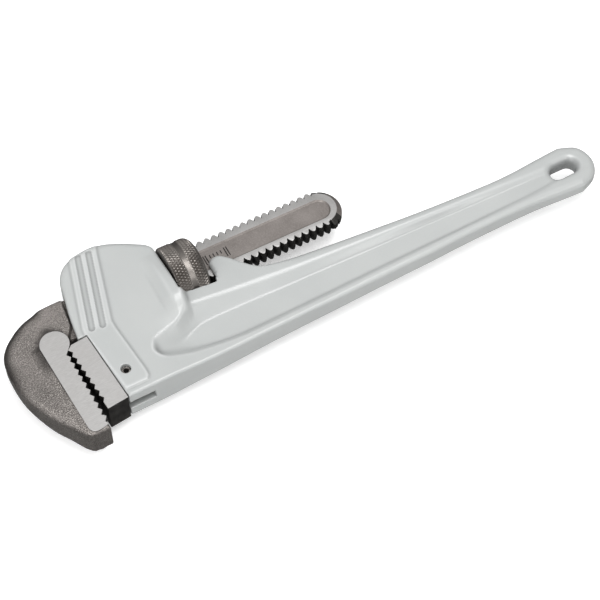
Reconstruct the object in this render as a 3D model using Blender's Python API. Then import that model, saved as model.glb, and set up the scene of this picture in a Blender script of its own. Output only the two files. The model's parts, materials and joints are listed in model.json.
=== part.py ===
"""Pipe wrench: cast aluminium handle, forged hook jaw, replaceable heel jaw, knurled nut.

The drawing frame is in millimetres. X runs along the shank's axis from the jaws to the tail,
Y runs from the mouth side to the nut side, and Z is square to the wrench's flat sides, with
Z = 0 in its middle plane. X = 0 and Y = 0 meet at the rear corner of the heel jaw's back.
"""
import math

import bmesh
import bpy
from mathutils import Vector

MM = 0.001

# Overall
TAIL_END_X = 385.7
HOOK_BACK_X = -57.4
HOUSING_REAR_Y = 65.3
HOOK_TIP_Y = -70.3
JAW_HALF_THICKNESS = 13.5

# Shank and thread
SHANK_Y = 21.7
SHANK_HALF_WIDTH = 16.0
SHANK_HALF_THICKNESS = 6.0
SHANK_END_X = 205.5
THREAD_START_X = 62.0
# The shank's and the nut's threads are cut from screws that start here, so that they are in step.
SCREW_START_X = 50.0
THREAD_PITCH = 5.7
THREAD_CREST_RADIUS = 16.5
THREAD_ROOT_RADIUS = 13.4
THREAD_STEPS = 24

# Adjusting nut
NUT_START_X = 71.8
NUT_END_X = 95.5
NUT_RADIUS = 23.5
NUT_THREAD_CLEARANCE = 0.55

# Housing
NUT_FACE_X = 71.0
WINDOW_END_X = 101.5
WINDOW_RADIUS = 25.3
CHANNEL_FRONT_Y = 4.9
CHANNEL_REAR_Y = 45.0
CHANNEL_HALF_HEIGHT = 6.8

# Teeth
TOOTH_DEPTH = 2.1
FIRST_ROOT_Y = -7.5
HOOK_TOOTH_PITCH = 5.75
HOOK_TOOTH_COUNT = 11
HEEL_TOOTH_PITCH = 5.85
HEEL_TOOTH_COUNT = 8

# Heel jaw's tang, slot and pin
SLOT_HALF_HEIGHT = 4.0
TANG_HALF_HEIGHT = 3.7
PIN_X = 12.5
PIN_Y = -36.0
PIN_RADIUS = 3.2
PIN_HOLE_RADIUS = 3.5
PIN_HALF_LENGTH = 11.3

# Springs, inside the housing's rear hump
SPRING_X = 35.0
LEAF_Y = 38.8
LEAF_THICKNESS = 1.0
COIL_RADIUS = 5.4
COIL_WIRE_RADIUS = 0.7
COIL_TURNS = 7
COIL_START_Y = 40.9
COIL_END_Y = 59.4
POCKET_RADIUS = 8.2
POCKET_END_Y = 61.0

# The handle rocks the hook jaw about the corner where the nut bears on the housing.
ROCK_X = 71.0
ROCK_Y = -2.0

# (x, half thickness) of the handle casting, from the jaws to the tail
HANDLE_TAPER = [(-12, 13.5), (40, 13.5), (62, 11.9), (100, 10.3), (125, 9.2), (200, 8.2), (300, 7.5), (392, 7.5)]

# Hanging hole
HOLE_START_X = 350.0
HOLE_END_X = 374.5
HOLE_Y = -31.3
HOLE_RADIUS = 6.4


def clear_scene():
    for old in list(bpy.data.objects):
        bpy.data.objects.remove(old, do_unlink=True)


def paint(name, colour, roughness, metallic):
    """One Principled material."""
    material = bpy.data.materials.new(name)
    material.use_nodes = True
    shader = material.node_tree.nodes["Principled BSDF"]
    shader.inputs["Base Color"].default_value = (*colour, 1.0)
    shader.inputs["Roughness"].default_value = roughness
    shader.inputs["Metallic"].default_value = metallic
    return material


# ---------------------------------------------------------------- outlines

def smooth(points, steps=5):
    """Catmull-Rom curve through the points, without its last point."""
    padded = [points[0]] + list(points) + [points[-1]]
    curve = []
    for i in range(1, len(padded) - 2):
        before, start, end, after = padded[i - 1:i + 3]
        for step in range(steps):
            t = step / steps
            curve.append(tuple(
                0.5 * (2 * b + (c - a) * t + (2 * a - 5 * b + 4 * c - d) * t * t
                       + (3 * b - a - 3 * c + d) * t * t * t)
                for a, b, c, d in zip(before, start, end, after)
            ))
    return curve


def arc(centre, radius, start, end, steps):
    """Points on a circle from one angle to another, in degrees, ends included."""
    angles = [math.radians(start + (end - start) * i / steps) for i in range(steps + 1)]
    return [(centre[0] + radius * math.cos(a), centre[1] + radius * math.sin(a)) for a in angles]


def slot_outline(start_x, end_x, y, radius, steps=10):
    """A slot along X with round ends; start_x and end_x are its outer ends."""
    return (arc((end_x - radius, y), radius, -90, 90, steps)
            + arc((start_x + radius, y), radius, 90, 270, steps))


def interpolate(table, x):
    """Value of a table of (x, value) pairs at x, straight between its entries."""
    for (x0, v0), (x1, v1) in zip(table, table[1:]):
        if x <= x1:
            return v0 + (v1 - v0) * (x - x0) / (x1 - x0)
    return table[-1][1]


# ---------------------------------------------------------------- solids

def add_object(name, bm, material, origin=(0, 0, 0)):
    """Closed mesh in drawing millimetres, as an object whose origin is the given point."""
    bmesh.ops.recalc_face_normals(bm, faces=bm.faces)
    for vertex in bm.verts:
        vertex.co = (vertex.co - Vector(origin)) * MM
    mesh = bpy.data.meshes.new(name)
    bm.to_mesh(mesh)
    bm.free()
    if material:
        mesh.materials.append(material)
    part = bpy.data.objects.new(name, mesh)
    part.location = Vector(origin) * MM
    bpy.context.scene.collection.objects.link(part)
    return part


def loft(loops):
    """Closed solid through a list of loops that have the same number of points."""
    bm = bmesh.new()
    rings = [[bm.verts.new(point) for point in loop] for loop in loops]
    count = len(rings[0])
    for lower, upper in zip(rings, rings[1:]):
        for i in range(count):
            j = (i + 1) % count
            bm.faces.new((lower[i], lower[j], upper[j], upper[i]))
    bm.faces.new(rings[0])
    bm.faces.new(rings[-1])
    return bm


def prism(outline, low, high):
    """Outline in X and Y, extruded along Z."""
    return loft([[(x, y, z) for x, y in outline] for z in (low, high)])


def side_prism(outline, low, high):
    """Outline in X and Z, extruded along Y."""
    return loft([[(x, y, z) for x, z in outline] for y in (low, high)])


def turned(profile, axis_y, segments):
    """Closed (x, radius) profile turned about the line parallel to X at axis_y."""
    loops = []
    for x, radius in profile:
        ring = arc((axis_y, 0), radius, 0, 360, segments)[:-1]
        loops.append([(x, y, z) for y, z in ring])
    return loft(loops)


def screw_solid(start_x, end_x, root, crest):
    """Solid right-hand screw about the shank's axis, with its ends closed by fans."""
    profile = [(0.0, root), (0.14, root), (0.5, crest), (0.66, crest)]
    rows = int((end_x - start_x) / THREAD_PITCH)
    bm = bmesh.new()

    def point(row, step):
        turn, place = divmod(row, len(profile))
        fraction, radius = profile[place]
        angle = 2 * math.pi * step / THREAD_STEPS
        x = start_x + THREAD_PITCH * (turn + fraction + step / THREAD_STEPS)
        return (x, SHANK_Y + radius * math.cos(angle), radius * math.sin(angle))

    row_count = rows * len(profile)
    grid = [[bm.verts.new(point(row, step)) for step in range(THREAD_STEPS)] for row in range(row_count)]

    def vertex(row, step):
        if step == THREAD_STEPS:
            return grid[row + len(profile)][0]
        return grid[row][step]

    for row in range(row_count - 1):
        for step in range(THREAD_STEPS):
            last = step == THREAD_STEPS - 1
            if last and row + 1 + len(profile) >= row_count:
                continue
            bm.faces.new((vertex(row, step), vertex(row + 1, step), vertex(row + 1, step + 1), vertex(row, step + 1)))
    bm.edges.ensure_lookup_table()
    ends = [edge for edge in bm.edges if len(edge.link_faces) == 1]
    centre_low = bm.verts.new((start_x - THREAD_PITCH, SHANK_Y, 0))
    centre_high = bm.verts.new((end_x + THREAD_PITCH, SHANK_Y, 0))
    middle = (start_x + end_x) / 2
    for edge in ends:
        a, b = edge.verts
        centre = centre_low if a.co.x < middle else centre_high
        bm.faces.new((a, b, centre))
    return bm


def boolean(target, operation, tool):
    """Live Boolean with a hidden tool object."""
    modifier = target.modifiers.new(tool.name, "BOOLEAN")
    modifier.operation = operation
    modifier.solver = "EXACT"
    modifier.object = tool
    tool.hide_render = True
    tool.display_type = "WIRE"


def cut(target, name, bm):
    boolean(target, "DIFFERENCE", add_object(name, bm, None))


def fuse(target, name, bm):
    boolean(target, "UNION", add_object(name, bm, None))


def keep_inside(target, name, bm):
    boolean(target, "INTERSECT", add_object(name, bm, None))


def bevel(target, width, segments, angle, clamp=True):
    modifier = target.modifiers.new("rounded_edges", "BEVEL")
    modifier.width = width * MM
    modifier.segments = segments
    modifier.limit_method = "ANGLE"
    modifier.angle_limit = math.radians(angle)
    modifier.use_clamp_overlap = clamp


def box(low, high):
    (x0, y0, z0), (x1, y1, z1) = low, high
    return prism([(x0, y0), (x1, y0), (x1, y1), (x0, y1)], z0, z1)


# ---------------------------------------------------------------- handle

def handle_outline():
    """Plan of the casting: heel seat, housing, nut window, lug, grip and tail."""
    heel_seat = [(5.5, -54.6), (0.5, 0.3)]
    housing = smooth([(-6, 0.3), (-3.3, 20), (0, 37), (3.3, 52), (12, 62), (26, HOUSING_REAR_Y),
                      (40, 64), (56, 56.5), (67.5, 48.5), (NUT_FACE_X, 41)])
    window = [(NUT_FACE_X, 41), (NUT_FACE_X, 3), (WINDOW_END_X, 3)]
    lug = smooth([(WINDOW_END_X, 15.5), (104.8, 18.3), (112.5, 13.5), (121, 4.5), (131, -3.5)], 4)
    grip_rear = smooth([(131, -3.5), (146, -6), (200, -10), (250, -13.8), (300, -16), (325, -15.9),
                        (350, -14), (368, -13.7)], 3)
    tail = smooth([(368, -13.7), (380, -19.2), (TAIL_END_X, -31.3), (380, -43.4), (368, -48.9)], 4)
    grip_front = smooth([(368, -48.9), (350, -47.6), (325, -45.4), (300, -45.2), (240, -47.4),
                         (180, -49.4), (120, -50.6), (60, -53), (6, -54.6)], 3)
    return heel_seat + housing + window + lug + grip_rear + tail + grip_front


def web_recess(side):
    """Long hollow in one side of the grip, its rear wall a wide slope, as sections along X."""
    floor = 3.4
    above = 22.0
    # x, rear edge, rear of floor, front of floor, front edge
    stations = [(33.5, -28.5, -28.8, -29.2, -29.5), (37, -24.5, -26.5, -31.5, -33.5),
                (46, -20.5, -24.8, -33.5, -38.3), (60, -16, -23.5, -36, -43), (70, -11, -22.8, -37.5, -45),
                (85, -10, -22.2, -38, -45.8), (120, -12, -22.5, -38.5, -45.6), (200, -17.5, -23.5, -38, -43.5),
                (300, -21.5, -25.5, -37, -40.5), (330, -23.5, -27, -35.5, -38), (342, -30.5, -31, -31.5, -32)]
    loops = []
    for x, rear, rear_floor, front_floor, front in stations:
        surface = interpolate(HANDLE_TAPER, x)
        section = [(rear, above), (rear, surface), (rear_floor, floor),
                   (front_floor, floor), (front, surface), (front, above)]
        loops.append([(x, y, side * z) for y, z in section])
    return loft(loops)


def rib_groove(side, foot_x):
    """One slanted groove of the housing's ribs, with round ends."""
    length = 57.0
    half_width = 2.4
    depth = 0.9
    lean = math.atan2(14.0, 57.0)
    along = Vector((math.sin(lean), math.cos(lean)))
    across = Vector((math.cos(lean), -math.sin(lean)))
    foot = Vector((foot_x, 1.0))
    outline = []
    for end, turn in ((half_width, 0), (length - half_width, 180)):
        for x, y in arc((0, 0), half_width, turn + 180, turn + 360, 6):
            point = foot + along * (end + y) + across * x
            outline.append((point.x, point.y))
    inner = JAW_HALF_THICKNESS - depth
    outer = JAW_HALF_THICKNESS + 3.0
    return prism(outline, *sorted((side * inner, side * outer)))


def nut_guard(side):
    """Flare of the housing's side that stands up beside the nut, as sections along X."""
    base = 9.0
    shoulder = 1.5
    end = NUT_FACE_X - 0.02
    # x, front edge, rear edge, height above the middle plane
    stations = [(49, -1, 55.5, 13.3), (56, -5, 50, 15), (62, -7.5, 45.5, 17.8), (66.5, -8.5, 42, 19.2),
                (69.4, -8, 40, 19), (end, -6, 38, 17.2)]
    loops = []
    for x, front, rear, top in stations:
        section = [(front - 2, base), (front, top - shoulder), (front + 3, top), (rear - 3, top),
                   (rear, top - shoulder), (rear + 2, base)]
        loops.append([(x, y, side * z) for y, z in section])
    return loft(loops)


def make_handle(material):
    handle = add_object("handle_body", prism(handle_outline(), -18, 18), material)
    upper = [(x, half) for x, half in HANDLE_TAPER]
    lower = [(x, -half) for x, half in reversed(HANDLE_TAPER)]
    keep_inside(handle, "handle_taper", side_prism(upper + lower, -90, 90))
    bevel(handle, 2.6, 2, 35)
    for side, word in ((1, "top"), (-1, "bottom")):
        fuse(handle, "nut_guard_" + word, nut_guard(side))
        cut(handle, "web_recess_" + word, web_recess(side))
        for number, foot_x in enumerate((5.4, 12.9)):
            cut(handle, f"rib_groove_{word}_{number + 1}", rib_groove(side, foot_x))

    channel = [(-20, CHANNEL_FRONT_Y), (90, CHANNEL_FRONT_Y), (90, 41.2), (62, 41.2), (57, CHANNEL_REAR_Y),
               (-20, CHANNEL_REAR_Y)]
    cut(handle, "shank_channel", prism(channel, -CHANNEL_HALF_HEIGHT, CHANNEL_HALF_HEIGHT))
    lug_gap = box((NUT_FACE_X + 5, -1.6, -CHANNEL_HALF_HEIGHT), (180, 60, CHANNEL_HALF_HEIGHT))
    cut(handle, "lug_gap", lug_gap)
    window = [(NUT_FACE_X, WINDOW_RADIUS), (WINDOW_END_X + 0.01, WINDOW_RADIUS)]
    cut(handle, "nut_window", turned(window, SHANK_Y, 48))
    pocket = [(x + SPRING_X, z) for x, z in arc((0, 0), POCKET_RADIUS, 0, 360, 24)[:-1]]
    cut(handle, "spring_pocket", side_prism(pocket, CHANNEL_REAR_Y - 3, POCKET_END_Y))
    cut(handle, "heel_slot", box((-4, -62, -SLOT_HALF_HEIGHT), (24.6, -15.5, SLOT_HALF_HEIGHT)))
    cut(handle, "pin_hole", prism(arc((PIN_X, PIN_Y), PIN_HOLE_RADIUS, 0, 360, 24)[:-1], -25, 25))
    cut(handle, "hanging_hole", prism(slot_outline(HOLE_START_X, HOLE_END_X, HOLE_Y, HOLE_RADIUS), -25, 25))
    return handle


# ---------------------------------------------------------------- jaws

def teeth(first_root_y, pitch, count, tip_x, depth):
    """Zigzag from the rear tip to the front tip; tip_x(y) is the line of the tips."""
    points = []
    for i in range(count):
        root_y = first_root_y - pitch * i
        tip_y = root_y + pitch / 2
        points.append((tip_x(tip_y), tip_y))
        points.append((tip_x(root_y) + depth, root_y))
    last_y = first_root_y - pitch * (count - 0.5)
    points.append((tip_x(last_y), last_y))
    return points


def hook_tips(y):
    """X of the hook jaw's tooth tips, a line leaning slightly from square."""
    return -15.95 + 0.034 * (-5 - y)


def heel_tips(y):
    """X of the heel jaw's tooth tips: the jaw leans about 5 degrees away from the hook's."""
    return -15.45 + 0.0944 * (-5 - y)


def make_hook_jaw(material):
    """Forged slab, ground tooth block at full thickness, and flat shank with a thread on its edges."""
    slab_half = 9.5
    back = smooth([(-12, SHANK_Y + SHANK_HALF_WIDTH), (-21, 37.3), (-39, 30), (-50.5, 17.5), (HOOK_BACK_X, 1),
                   (-53, -23), (-42.5, -47), (-31.5, -66)], 5)
    tip = [(-31.5, -66), (-26.5, HOOK_TIP_Y + 0.3), (-18.4, HOOK_TIP_Y + 0.3), (-18.6, -8)]
    throat = [(-17, 0), (-14.5, 4), (-12, SHANK_Y - SHANK_HALF_WIDTH)]
    hook = add_object("hook_jaw", prism(back + tip + throat, -slab_half, slab_half), material,
                      (0, SHANK_Y, 0))
    bevel(hook, 2.0, 2, 35, clamp=False)

    block = arc((-21.5, 4), 10.2, 175, -40, 14)
    block += teeth(FIRST_ROOT_Y, HOOK_TOOTH_PITCH, HOOK_TOOTH_COUNT, hook_tips, -TOOTH_DEPTH)[1:]
    block += [(-14.6, HOOK_TIP_Y + 0.9), (-15.2, HOOK_TIP_Y), (-28, HOOK_TIP_Y), (-30.2, HOOK_TIP_Y + 2)]
    fuse(hook, "tooth_block", prism(block, -JAW_HALF_THICKNESS, JAW_HALF_THICKNESS))

    plain = box((-20, SHANK_Y - SHANK_HALF_WIDTH, -SHANK_HALF_THICKNESS),
                (THREAD_START_X + 3, SHANK_Y + SHANK_HALF_WIDTH, SHANK_HALF_THICKNESS))
    fuse(hook, "plain_shank", plain)

    screw = screw_solid(SCREW_START_X, SHANK_END_X + 16, THREAD_ROOT_RADIUS, THREAD_CREST_RADIUS)
    threaded = add_object("threaded_shank", screw, None)
    end_radius = 17.0
    half_width = 18.0
    flat_bar = [(THREAD_START_X, SHANK_Y - half_width), (SHANK_END_X - end_radius, SHANK_Y - half_width)]
    flat_bar += arc((SHANK_END_X - end_radius, SHANK_Y), end_radius, -84, 84, 16)
    flat_bar += [(SHANK_END_X - end_radius, SHANK_Y + half_width), (THREAD_START_X, SHANK_Y + half_width)]
    keep_inside(threaded, "flat_bar", prism(flat_bar, -SHANK_HALF_THICKNESS + 0.01, SHANK_HALF_THICKNESS - 0.01))
    boolean(hook, "UNION", threaded)
    for side, word in ((1, "top"), (-1, "bottom")):
        depth = 1.1
        span = sorted((side * (SHANK_HALF_THICKNESS - depth), side * (SHANK_HALF_THICKNESS + 2)))
        panel = slot_outline(66, 198.5, SHANK_Y, 8.2, 6)
        cut(hook, "panel_" + word, prism(panel, *span))
    return hook


def make_heel_jaw(material):
    """Toothed block with a tang that the pin goes through."""
    block = [(0.1, -0.5), (-11.9, -1.7)]
    block += teeth(FIRST_ROOT_Y, HEEL_TOOTH_PITCH, HEEL_TOOTH_COUNT, heel_tips, TOOTH_DEPTH)
    block += [(heel_tips(-57), -57.3), (4.9, -55.7)]
    heel = add_object("heel_jaw", prism(block, -JAW_HALF_THICKNESS, JAW_HALF_THICKNESS), material)
    bevel(heel, 0.5, 1, 60)
    tang = [(-6, -17), (21, -16.5), (23.8, -19.5), (23.8, -46), (20.5, -49.5), (-6, -49.5)]
    fuse(heel, "tang", prism(tang, -TANG_HALF_HEIGHT, TANG_HALF_HEIGHT))
    cut(heel, "tang_hole", prism(arc((PIN_X, PIN_Y), PIN_HOLE_RADIUS, 0, 360, 24)[:-1], -25, 25))
    return heel


def make_pin(material):
    """Roll pin: a tube split along its length."""
    bore_radius = 1.9
    half_split = 8.0
    outline = arc((PIN_X, PIN_Y), PIN_RADIUS, half_split, 360 - half_split, 22)
    outline += arc((PIN_X, PIN_Y), bore_radius, 360 - half_split, half_split, 22)
    return add_object("heel_jaw_pin", prism(outline, -PIN_HALF_LENGTH, PIN_HALF_LENGTH), material)


# ---------------------------------------------------------------- nut and springs

def make_nut(material):
    """Round nut with a shallow plain band between two knurled bands, threaded inside."""
    core = 3.0
    band = 0.5
    profile = [(NUT_START_X, core), (NUT_START_X, NUT_RADIUS - 1.0), (NUT_START_X + 1.0, NUT_RADIUS),
               (NUT_START_X + 7.5, NUT_RADIUS), (NUT_START_X + 8.2, NUT_RADIUS - band),
               (NUT_START_X + 11.2, NUT_RADIUS - band), (NUT_START_X + 11.9, NUT_RADIUS),
               (NUT_END_X - 3.4, NUT_RADIUS), (NUT_END_X - 1.4, NUT_RADIUS - 0.7),
               (NUT_END_X - 0.4, NUT_RADIUS - 2.0), (NUT_END_X, NUT_RADIUS - 3.6), (NUT_END_X, core)]
    nut = add_object("adjusting_nut", turned(profile, SHANK_Y, 64), material, (NUT_START_X, SHANK_Y, 0))
    thread = screw_solid(SCREW_START_X, NUT_END_X + 12, THREAD_ROOT_RADIUS + NUT_THREAD_CLEARANCE,
                         THREAD_CREST_RADIUS + NUT_THREAD_CLEARANCE)
    cut(nut, "nut_thread", thread)
    return nut


def make_flat_spring(material):
    """Leaf that lies on the shank's rear edge, with its ends curled away."""
    under = [(12, 40.4), (14, 39.4), (17, LEAF_Y), (49, LEAF_Y), (51, 39.6), (53, 40.8)]
    over = [(x, y + LEAF_THICKNESS) for x, y in reversed(under)]
    leaf = add_object("flat_spring", prism(under + over, -5.2, 5.2), material, (ROCK_X, ROCK_Y, 0))
    hole = [(x + SPRING_X, z) for x, z in arc((0, 0), 1.8, 0, 360, 16)[:-1]]
    cut(leaf, "leaf_hole", side_prism(hole, LEAF_Y - 3, LEAF_Y + 5))
    return leaf


def make_rivet(material):
    """Headed rivet that keeps the coil spring's foot centred on the leaf."""
    rings = [(LEAF_Y + 0.1, 1.45), (LEAF_Y + 1.3, 1.45), (LEAF_Y + 1.3, 3.4), (LEAF_Y + 3.2, 3.4),
             (LEAF_Y + 4.0, 2.4)]
    loops = []
    for y, radius in rings:
        loops.append([(SPRING_X + x, y, z) for x, z in arc((0, 0), radius, 0, 360, 20)[:-1]])
    return add_object("spring_rivet", loft(loops), material, (ROCK_X, ROCK_Y, 0))


def make_coil_spring(material):
    """Compression spring standing on the leaf, as a wire swept along a helix."""
    steps = 16
    curve = bpy.data.curves.new("coil_spring", "CURVE")
    curve.dimensions = "3D"
    curve.bevel_depth = COIL_WIRE_RADIUS * MM
    curve.bevel_resolution = 1
    curve.use_fill_caps = True
    spline = curve.splines.new("POLY")
    count = COIL_TURNS * steps + 1
    spline.points.add(count - 1)
    for i, point in enumerate(spline.points):
        angle = 2 * math.pi * i / steps
        y = COIL_START_Y + (COIL_END_Y - COIL_START_Y) * i / (count - 1)
        place = Vector((COIL_RADIUS * math.cos(angle), y - COIL_START_Y, COIL_RADIUS * math.sin(angle)))
        point.co = (*(place * MM), 1.0)
    curve.materials.append(material)
    coil = bpy.data.objects.new("coil_spring", curve)
    coil.location = Vector((SPRING_X, COIL_START_Y, 0)) * MM
    bpy.context.scene.collection.objects.link(coil)
    return coil


# ---------------------------------------------------------------- assembly

def shade(parts):
    for part in parts:
        if part.type == "MESH":
            part.data.shade_smooth()
            part.data.set_sharp_from_angle(angle=math.radians(30))


def place_in_frame():
    """Parent everything to an empty, so that the origin is under the middle of the overall box."""
    frame = bpy.data.objects.new("drawing_frame", None)
    bpy.context.scene.collection.objects.link(frame)
    centre_x = (TAIL_END_X + HOOK_BACK_X) / 2
    centre_y = (HOUSING_REAR_Y + HOOK_TIP_Y) / 2
    frame.location = Vector((-centre_x, -centre_y, NUT_RADIUS)) * MM
    for part in list(bpy.data.objects):
        if part != frame:
            part.parent = frame


def main():
    clear_scene()
    painted = paint("silver_paint", (0.62, 0.64, 0.64), 0.35, 0.1)
    forged = paint("forged_steel", (0.16, 0.145, 0.135), 0.5, 0.7)
    ground = paint("ground_steel", (0.55, 0.54, 0.53), 0.35, 0.9)
    machined = paint("machined_steel", (0.2, 0.175, 0.16), 0.4, 0.85)
    spring = paint("spring_steel", (0.3, 0.3, 0.31), 0.35, 0.9)
    blackened = paint("blackened_steel", (0.05, 0.05, 0.05), 0.5, 0.6)
    parts = [
        make_handle(painted),
        make_hook_jaw(forged),
        make_heel_jaw(ground),
        make_pin(blackened),
        make_nut(machined),
        make_flat_spring(spring),
        make_rivet(spring),
        make_coil_spring(spring),
    ]
    shade(parts)
    place_in_frame()


main()
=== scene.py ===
import json
import math

import bmesh
import bpy
import numpy as np
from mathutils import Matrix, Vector


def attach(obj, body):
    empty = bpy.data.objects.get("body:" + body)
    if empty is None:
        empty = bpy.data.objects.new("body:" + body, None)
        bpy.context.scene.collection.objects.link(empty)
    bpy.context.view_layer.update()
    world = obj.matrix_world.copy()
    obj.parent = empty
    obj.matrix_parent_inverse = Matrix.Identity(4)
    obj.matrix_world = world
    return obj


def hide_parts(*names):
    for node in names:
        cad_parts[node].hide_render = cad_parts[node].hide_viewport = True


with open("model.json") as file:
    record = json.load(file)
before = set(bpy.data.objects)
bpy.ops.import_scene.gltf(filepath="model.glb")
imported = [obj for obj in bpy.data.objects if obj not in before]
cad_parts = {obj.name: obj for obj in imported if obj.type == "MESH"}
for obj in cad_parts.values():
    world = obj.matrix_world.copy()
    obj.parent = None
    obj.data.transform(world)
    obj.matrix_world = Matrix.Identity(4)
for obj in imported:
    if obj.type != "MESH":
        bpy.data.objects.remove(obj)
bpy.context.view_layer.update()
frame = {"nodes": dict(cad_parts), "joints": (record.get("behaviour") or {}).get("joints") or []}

MM = 0.001

# Driving dimensions, in the drawing's millimetres. X runs along the shank to the tail, Y to the nut side,
# Z = 0 is the middle plane, and X = Y = 0 is the rear corner of the heel jaw's back.
SHANK_Y = 21.7          # middle of the shank and axis of the nut
SHANK_HALF = 6.0        # half thickness of the shank and of the hook jaw's neck
NECK_LOW_Y = 5.7        # front and rear edges of the neck
NECK_HIGH_Y = 37.7
CHANNEL_HALF = 6.8      # half width of the housing's channel, which the neck slides in
JAW_HALF = 13.5         # half thickness of both tooth blocks and of the housing
PITCH = 5.7             # thread of the shank and the nut
SCREW_START_X = 50.0    # where the helix starts, so that the shank's thread runs through the nut's
ROCK_X = 71.0           # axis that the hook jaw rocks about
ROCK_Y = -2.0
NUT_FACE_X = 71.0       # ends of the window in the handle
WINDOW_END_X = 99.4
TAIL_X = 385.6
PIN_X = 12.5            # pin through the heel jaw's tang
PIN_Y = -36.0
PIN_HOLE_RADIUS = 3.5
HOLE_START_X = 357.0    # slotted hanging hole: centres of its round ends, and its radius
HOLE_END_X = 366.0
HOLE_Y = -31.3
HOLE_RADIUS = 5.4
HANDLE_STEP = 0.65      # spacings of the grids that the two cast and forged shapes are drawn on
FORGING_STEP = 0.8

joints = {joint["name"]: joint for joint in frame["joints"]}
ORIGIN = Vector(joints["jaw_rock"]["pos_m"]) - Vector((ROCK_X, ROCK_Y, 0)) * MM


def to_frame(x, y, z):
    """Point of the drawing, in millimetres, to the frame, in metres."""
    return ORIGIN + Vector((x, y, z)) * MM


# ---------------------------------------------------------------- curves and outlines

def smooth(points, steps=6):
    """Catmull-Rom curve through the points, without its last point."""
    padded = [points[0]] + list(points) + [points[-1]]
    curve = []
    for i in range(1, len(padded) - 2):
        before, start, end, after = padded[i - 1:i + 3]
        for step in range(steps):
            t = step / steps
            curve.append(tuple(
                0.5 * (2 * b + (c - a) * t + (2 * a - 5 * b + 4 * c - d) * t * t
                       + (3 * b - a - 3 * c + d) * t * t * t)
                for a, b, c, d in zip(before, start, end, after)
            ))
    return curve


def arc(centre, radius, start, end, steps):
    """Points on a circle between two angles in degrees, ends included."""
    angles = [math.radians(start + (end - start) * i / steps) for i in range(steps + 1)]
    return [(centre[0] + radius * math.cos(a), centre[1] + radius * math.sin(a)) for a in angles]


def through(points):
    """Function of x through the points: a Catmull-Rom curve, read off a fine table."""
    table = smooth(points, 12) + [points[-1]]
    xs = np.array([p[0] for p in table])
    ys = np.array([p[1] for p in table])
    return lambda x: np.interp(x, xs, ys)


def step(x, low, high):
    """0 below low, 1 above high, smooth between."""
    t = np.clip((x - low) / (high - low), 0.0, 1.0)
    return t * t * (3 - 2 * t)


# ---------------------------------------------------------------- distance fields

def polygon_distance(x, y, outline):
    """Signed distance from the points (x, y) to a closed outline, negative inside."""
    nearest = np.full(np.broadcast(x, y).shape, 1e9)
    inside = np.zeros(nearest.shape, bool)
    for (ax, ay), (bx, by) in zip(outline, outline[1:] + outline[:1]):
        ex, ey = bx - ax, by - ay
        length = ex * ex + ey * ey
        if length < 1e-12:
            continue
        t = np.clip(((x - ax) * ex + (y - ay) * ey) / length, 0, 1)
        nearest = np.minimum(nearest, (x - ax - t * ex) ** 2 + (y - ay - t * ey) ** 2)
        if ay != by:
            crosses = ((ay > y) != (by > y)) & (x < ax + ex * (y - ay) / ey)
            inside ^= crosses
    return np.where(inside, -1, 1) * np.sqrt(nearest)


def smooth_max(a, b, k):
    """Maximum of two fields, with a fillet of about k where they cross."""
    blend = np.maximum(k - np.abs(a - b), 0) / k
    return np.maximum(a, b) + blend * blend * k * 0.25


def smooth_min(a, b, k):
    """Minimum of two fields, with a fillet of about k where they cross."""
    return -smooth_max(-a, -b, k)


def slab(plan, z, half, radius):
    """Field of a plate with the given plan; half thickness and edge radius may vary over the plan."""
    side = plan[..., None] + radius[..., None]
    top = np.abs(z) - half[..., None] + radius[..., None]
    inner = np.minimum(np.maximum(side, top), 0)
    outer = np.hypot(np.maximum(side, 0), np.maximum(top, 0))
    return inner + outer - radius[..., None]


def blurred(field, sigma):
    """Gaussian blur of a plan map; sigma in grid steps."""
    reach = int(math.ceil(3 * sigma))
    offsets = np.arange(-reach, reach + 1)
    weights = np.exp(-0.5 * (offsets / sigma) ** 2)
    weights /= weights.sum()
    for axis in (0, 1):
        pad = [(reach, reach) if a == axis else (0, 0) for a in (0, 1)]
        wide = np.pad(field, pad, mode="edge")
        size = field.shape[axis]
        field = sum(w * np.take(wide, range(i, i + size), axis) for i, w in enumerate(weights))
    return field


def grid(low, high, spacing):
    """Coordinate arrays of a regular grid, and the same as x, y and z ready to broadcast."""
    axes = [np.arange(a, b + spacing, spacing) for a, b in zip(low, high)]
    return axes, axes[0][:, None], axes[1][None, :], axes[2][None, None, :]


def sample(field, low, spacing, points):
    """Trilinear value of the field at the points."""
    place = (points - low) / spacing
    limit = np.array(field.shape) - 2
    cell = np.clip(np.floor(place).astype(int), 0, limit)
    t = place - cell
    value = 0
    for dx in (0, 1):
        for dy in (0, 1):
            for dz in (0, 1):
                weight = (np.where(dx, t[:, 0], 1 - t[:, 0]) * np.where(dy, t[:, 1], 1 - t[:, 1])
                          * np.where(dz, t[:, 2], 1 - t[:, 2]))
                value = value + weight * field[cell[:, 0] + dx, cell[:, 1] + dy, cell[:, 2] + dz]
    return value


def gradient(field, low, spacing, points):
    """Direction of steepest rise of the field at the points."""
    result = np.zeros(points.shape)
    for axis in range(3):
        shift = np.zeros(3)
        shift[axis] = spacing * 0.5
        result[:, axis] = (sample(field, low, spacing, points + shift)
                           - sample(field, low, spacing, points - shift)) / spacing
    return result


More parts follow.
